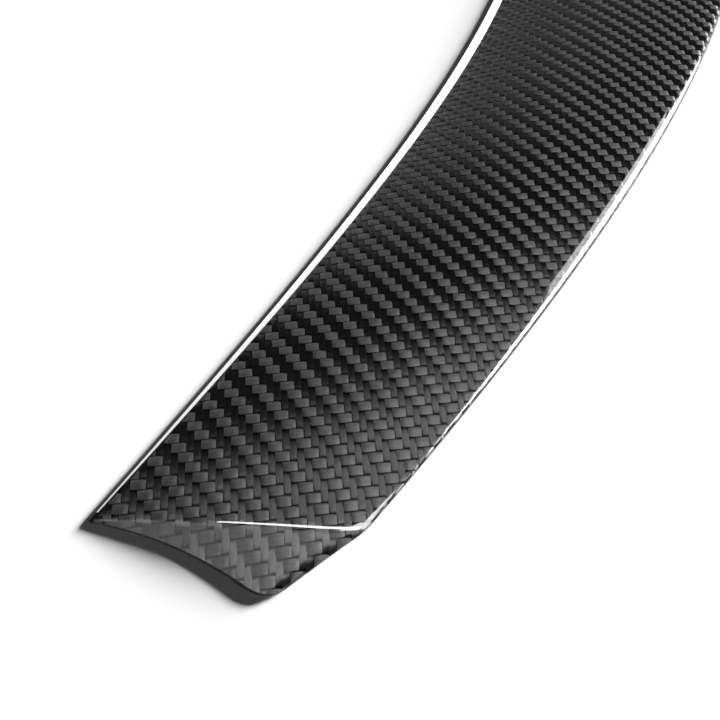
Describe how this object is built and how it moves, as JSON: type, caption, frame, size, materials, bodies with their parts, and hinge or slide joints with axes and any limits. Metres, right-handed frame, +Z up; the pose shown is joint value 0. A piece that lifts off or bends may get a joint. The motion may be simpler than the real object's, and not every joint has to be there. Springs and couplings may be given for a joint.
{
  "type": "car rear spoiler",
  "caption": "Glossy carbon-weave lip spoiler for a boot lid: one thin shell, swept forward and folded down at both ends, open underneath.",
  "frame": {"origin": "middle of the overall box in plan, on the plane of the bonding faces", "axes": "+X across the car, along the spoiler; +Y towards the front of the car; +Z up, away from the boot lid"},
  "size_m": [1.1188, 0.2266, 0.0324],
  "materials": {
    "coated_carbon": "black twill-weave carbon laminate under a high-gloss clear coat"
  },
  "bodies": {
    "root": {"spoiler_shell": "coated_carbon"}
  },
  "joints": []
}
